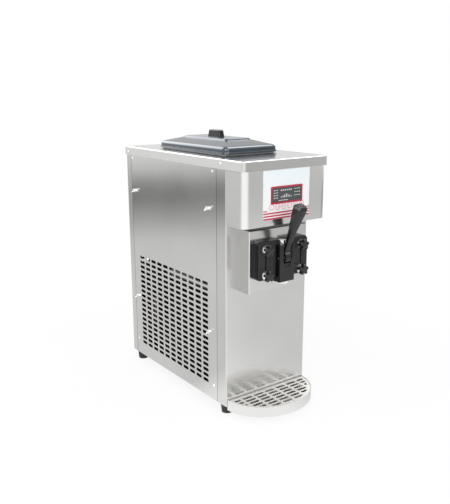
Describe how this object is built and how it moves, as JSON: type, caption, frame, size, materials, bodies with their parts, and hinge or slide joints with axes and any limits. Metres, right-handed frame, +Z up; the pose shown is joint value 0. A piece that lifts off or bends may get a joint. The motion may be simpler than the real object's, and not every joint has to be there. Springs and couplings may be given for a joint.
{
  "type": "soft-serve ice cream maker",
  "caption": "Countertop soft-serve ice cream maker: tall steel cabinet, overhanging control head, draw lever and valve door, lidded mix hopper and pull-out drip tray.",
  "frame": {"origin": "middle of the plan at the underside of the feet", "axes": "+Z up, -Y out of the serving front, +X to the right seen from the front"},
  "size_m": [0.326, 0.7221, 0.812],
  "materials": {
    "stainless": "brushed",
    "bright_steel": "polished",
    "black_moulding": "satin",
    "lid_grey": "satin",
    "film_white": "satin",
    "display_dark": "gloss",
    "key_white": "satin",
    "nozzle_white": "satin",
    "foot_rubber": "matte",
    "seal_rubber": "matte",
    "belt_rubber": "matte",
    "circuit_green": "satin",
    "foam": "matte",
    "bush_white": "satin",
    "cast_case": "cast",
    "pulley_iron": "machined",
    "motor_paint": "satin",
    "compressor_paint": "gloss",
    "condenser_aluminium": "satin",
    "fan_plastic": "satin",
    "copper": "satin",
    "floor_black": "satin"
  },
  "bodies": {
    "cabinet": {"base_pan": "stainless", "front_panel": "stainless", "rear_panel": "stainless", "side_panel_left": "stainless", "side_panel_right": "stainless", "top_cover": "stainless", "head_shell": "stainless", "head_floor": "floor_black", "door_collar": "stainless", "feet": "foot_rubber", "panel_screws": "bright_steel", "wing_screws": "bright_steel", "control_overlay": "film_white", "display_window": "display_dark", "display_board": "circuit_green", "control_board": "circuit_green", "hopper": "stainless", "freezing_cylinder": "stainless", "cylinder_insulation": "foam", "door_studs": "bright_steel", "dispensing_door": "black_moulding", "door_seal": "seal_rubber", "pivot_pin": "bright_steel", "nozzle_cap": "nozzle_white", "front_bush": "bush_white", "gearbox": "cast_case", "drive_belt": "belt_rubber", "drive_motor": "motor_paint", "compressor": "compressor_paint", "condenser": "condenser_aluminium", "fan_motor": "motor_paint", "filter_drier": "copper", "copper_pipes": "copper", "tray_bracket": "stainless", "mid_deck": "stainless", "cord_gland": "black_moulding"},
    "lid": {"hopper_lid": "lid_grey", "lid_knob": "black_moulding", "lid_seal": "seal_rubber"},
    "feed": {"feed_tube": "nozzle_white"},
    "lever": {"draw_lever": "black_moulding", "lever_grip": "black_moulding"},
    "spool": {"valve_spool": "bright_steel", "spool_rings": "seal_rubber"},
    "tray": {"drip_tray": "stainless"},
    "grille": {"drip_grille": "stainless"},
    "beater": {"beater": "stainless"},
    "gearbox_pulley": {"gearbox_pulley": "pulley_iron"},
    "motor_pulley": {"motor_pulley": "pulley_iron"},
    "fan": {"fan_blades": "fan_plastic"},
    "knob_1": {"star_knob_1": "black_moulding"},
    "knob_2": {"star_knob_2": "black_moulding"},
    "knob_3": {"star_knob_3": "black_moulding"},
    "knob_4": {"star_knob_4": "black_moulding"},
    "key_1": {"key_1": "key_white"},
    "key_2": {"key_2": "key_white"},
    "key_3": {"key_3": "key_white"},
    "key_4": {"key_4": "key_white"},
    "key_5": {"key_5": "key_white"},
    "key_6": {"key_6": "key_white"}
  },
  "joints": [
    {"name": "lid_lift", "type": "slide", "parent": "cabinet", "child": "lid", "axis": [0, 0, 1], "range_m": [0, 0.12]},
    {"name": "feed_lift", "type": "slide", "parent": "cabinet", "child": "feed", "axis": [0, 0, 1], "range_m": [0, 0.035]},
    {"name": "lever_tip", "type": "hinge", "parent": "cabinet", "child": "lever", "pos_m": [0, -0.2929, 0.476], "axis": [1, 0, 0], "range_deg": [0, 60]},
    {"name": "spool_slide", "type": "slide", "parent": "cabinet", "child": "spool", "axis": [0, 0, 1], "range_m": [0, 0.0221]},
    {"name": "tray_pull", "type": "slide", "parent": "cabinet", "child": "tray", "axis": [0, -1, 0], "range_m": [0, 0.14]},
    {"name": "grille_lift", "type": "slide", "parent": "tray", "child": "grille", "axis": [0, 0, 1], "range_m": [0, 0.06]},
    {"name": "gearbox_pulley_spin", "type": "hinge", "parent": "cabinet", "child": "gearbox_pulley", "pos_m": [0, 0.1011, 0.467], "axis": [0, 1, 0], "continuous": true},
    {"name": "beater_spin", "type": "hinge", "parent": "cabinet", "child": "beater", "pos_m": [0, -0.1129, 0.467], "axis": [0, 1, 0], "continuous": true},
    {"name": "motor_pulley_spin", "type": "hinge", "parent": "cabinet", "child": "motor_pulley", "pos_m": [0, 0.1011, 0.3], "axis": [0, 1, 0], "continuous": true},
    {"name": "fan_spin", "type": "hinge", "parent": "cabinet", "child": "fan", "pos_m": [-0.08, 0.0221, 0.2], "axis": [1, 0, 0], "continuous": true},
    {"name": "knob_1_turn", "type": "hinge", "parent": "cabinet", "child": "knob_1", "pos_m": [-0.064, -0.2929, 0.5033], "axis": [0, -1, 0], "continuous": true},
    {"name": "knob_2_turn", "type": "hinge", "parent": "cabinet", "child": "knob_2", "pos_m": [0.064, -0.2929, 0.5033], "axis": [0, -1, 0], "continuous": true},
    {"name": "knob_3_turn", "type": "hinge", "parent": "cabinet", "child": "knob_3", "pos_m": [-0.064, -0.2929, 0.4307], "axis": [0, -1, 0], "continuous": true},
    {"name": "knob_4_turn", "type": "hinge", "parent": "cabinet", "child": "knob_4", "pos_m": [0.064, -0.2929, 0.4307], "axis": [0, -1, 0], "continuous": true},
    {"name": "key_1_press", "type": "slide", "parent": "cabinet", "child": "key_1", "axis": [0, 1, 0], "range_m": [0, 0.0006], "stiffness_N_per_m": 400},
    {"name": "key_2_press", "type": "slide", "parent": "cabinet", "child": "key_2", "axis": [0, 1, 0], "range_m": [0, 0.0006], "stiffness_N_per_m": 400},
    {"name": "key_3_press", "type": "slide", "parent": "cabinet", "child": "key_3", "axis": [0, 1, 0], "range_m": [0, 0.0006], "stiffness_N_per_m": 400},
    {"name": "key_4_press", "type": "slide", "parent": "cabinet", "child": "key_4", "axis": [0, 1, 0], "range_m": [0, 0.0006], "stiffness_N_per_m": 400},
    {"name": "key_5_press", "type": "slide", "parent": "cabinet", "child": "key_5", "axis": [0, 1, 0], "range_m": [0, 0.0006], "stiffness_N_per_m": 400},
    {"name": "key_6_press", "type": "slide", "parent": "cabinet", "child": "key_6", "axis": [0, 1, 0], "range_m": [0, 0.0006], "stiffness_N_per_m": 400}
  ],
  "couplings": [
    {"joint": "spool_slide", "follows": "lever_tip", "m_per_rad": 0.02101},
    {"joint": "beater_spin", "follows": "gearbox_pulley_spin", "ratio": 0.16667},
    {"joint": "motor_pulley_spin", "follows": "gearbox_pulley_spin", "ratio": 2}
  ]
}
